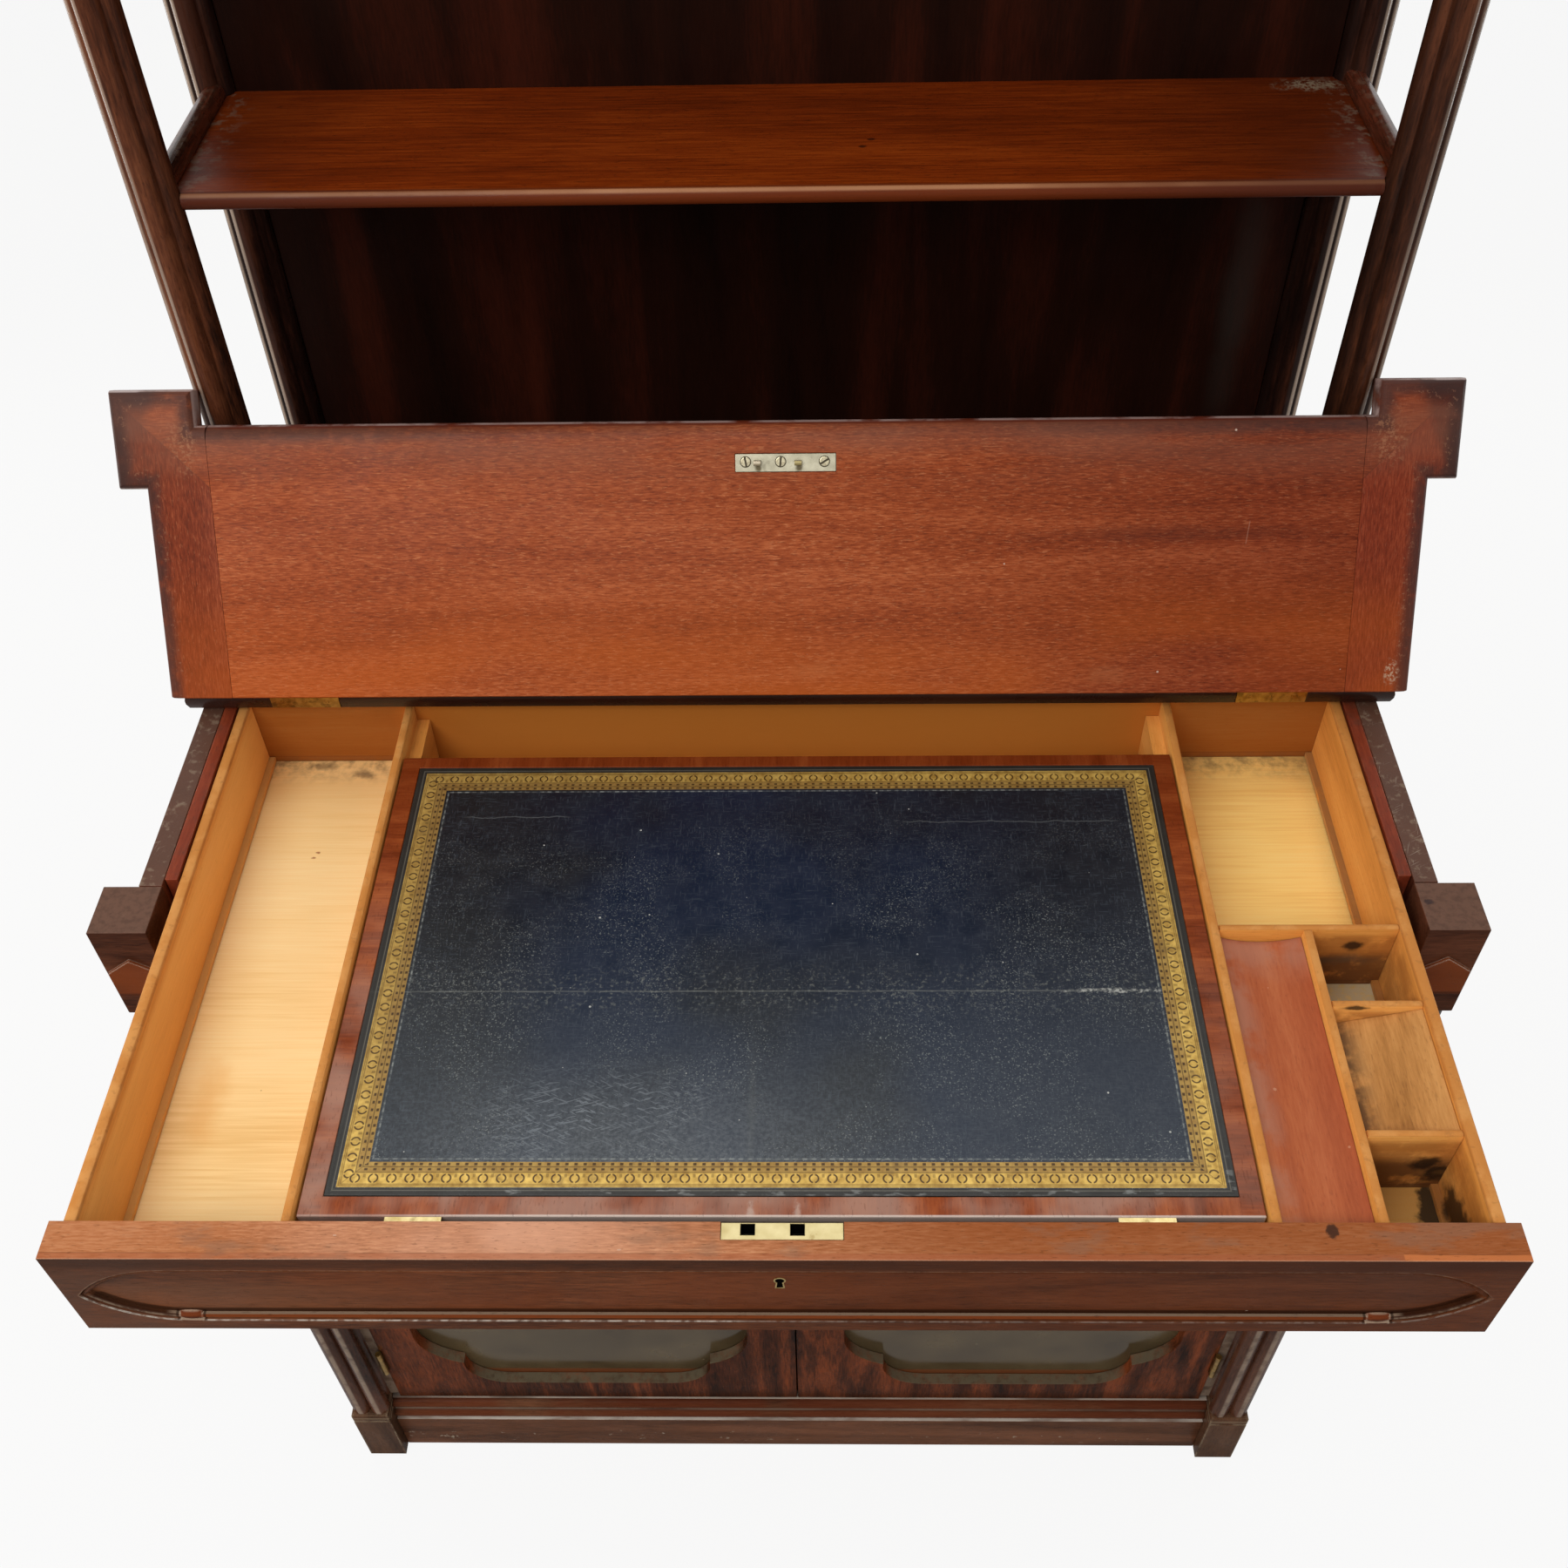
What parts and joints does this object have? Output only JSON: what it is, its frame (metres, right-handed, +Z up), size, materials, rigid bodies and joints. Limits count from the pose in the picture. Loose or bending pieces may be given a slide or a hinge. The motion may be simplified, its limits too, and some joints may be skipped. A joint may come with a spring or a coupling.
{
  "type": "secretaire chiffonier",
  "caption": "Mahogany secretaire chiffonier: glazed cupboard below, a fitted writing drawer under a hinged lid, and open shelves on clustered posts above.",
  "frame": {"origin": "on the floor under the middle of the whole object, with the drawer pulled out and the lid open", "axes": "+Z up, +Y from the front to the back, +X to the viewer's right when facing the front"},
  "size_m": [0.9232, 0.7134, 1.5625],
  "materials": {
    "mahogany": "french polished mahogany",
    "dark_mahogany": "dark glossy flame mahogany",
    "lid_mahogany": "red-brown mahogany, worn polish",
    "red_mahogany": "unpolished red mahogany",
    "cedar": "waxed orange-brown cedar",
    "pale_oak": "pale drawer lining",
    "pine": "unfinished pine",
    "brass": "worn lacquered brass",
    "nickel": "tarnished nickel",
    "blue_leather": "dark blue tooled leather",
    "old_glass": "dusty old glass"
  },
  "bodies": {
    "case": {"plinth_front": "dark_mahogany", "plinth_side_left": "dark_mahogany", "plinth_side_right": "dark_mahogany", "plinth_block_left": "dark_mahogany", "plinth_block_right": "dark_mahogany", "column_left": "dark_mahogany", "column_right": "dark_mahogany", "frieze_block_left": "dark_mahogany", "frieze_block_right": "dark_mahogany", "side_panel_left": "dark_mahogany", "side_panel_right": "dark_mahogany", "cupboard_floor": "mahogany", "cupboard_shelf": "mahogany", "base_back": "pine", "drawer_dustboard": "mahogany", "drawer_guide_left": "red_mahogany", "drawer_guide_right": "red_mahogany", "fixed_top": "mahogany", "post_front_left": "dark_mahogany", "post_front_right": "dark_mahogany", "post_rear_left": "dark_mahogany", "post_rear_right": "dark_mahogany", "middle_shelf": "mahogany", "shelf_rail_left": "dark_mahogany", "shelf_rail_right": "dark_mahogany", "upper_back": "dark_mahogany", "top_shelf": "dark_mahogany", "lid_hinge_base_left": "brass", "lid_hinge_base_right": "brass"},
    "lid": {"lid_panel": "lid_mahogany", "lid_clamp_left": "lid_mahogany", "lid_clamp_right": "lid_mahogany", "link_plate": "nickel", "lid_hinge_leaf_left": "brass", "lid_hinge_leaf_right": "brass"},
    "drawer": {"drawer_front": "mahogany", "box_lock": "brass", "drawer_side_left": "cedar", "drawer_side_right": "cedar", "drawer_back": "cedar", "drawer_bottom": "pale_oak", "partition_left": "cedar", "partition_right": "cedar", "cross_divider": "cedar", "pen_divider": "cedar", "ink_divider_rear": "cedar", "ink_divider_front": "cedar", "pen_tray": "red_mahogany"},
    "slope": {"writing_slope": "mahogany", "leather": "blue_leather", "slope_hinge_left": "brass", "slope_hinge_right": "brass"},
    "door_left": {"door_left": "dark_mahogany", "glass_left": "old_glass", "door_hinge_left_lower": "brass", "door_hinge_left_upper": "brass"},
    "door_right": {"door_right": "dark_mahogany", "glass_right": "old_glass", "door_hinge_right_lower": "brass", "door_hinge_right_upper": "brass"}
  },
  "joints": [
    {"name": "drawer_slide", "type": "slide", "parent": "case", "child": "drawer", "axis": [0, -1, 0], "range_m": [-0.2504, 0.05]},
    {"name": "lid_hinge", "type": "hinge", "parent": "case", "child": "lid", "pos_m": [0, 0.0757, 0.9325], "axis": [-1, 0, 0], "range_deg": [-121.25, 0]},
    {"name": "slope_hinge", "type": "hinge", "parent": "drawer", "child": "slope", "pos_m": [0, -0.3319, 0.903], "axis": [1, 0, 0], "range_deg": [0, 75]},
    {"name": "door_left_hinge", "type": "hinge", "parent": "case", "child": "door_left", "pos_m": [-0.41075, -0.1093, 0.45], "axis": [0, 0, -1], "range_deg": [0, 90]},
    {"name": "door_right_hinge", "type": "hinge", "parent": "case", "child": "door_right", "pos_m": [0.41075, -0.1093, 0.45], "axis": [0, 0, 1], "range_deg": [0, 90]}
  ]
}
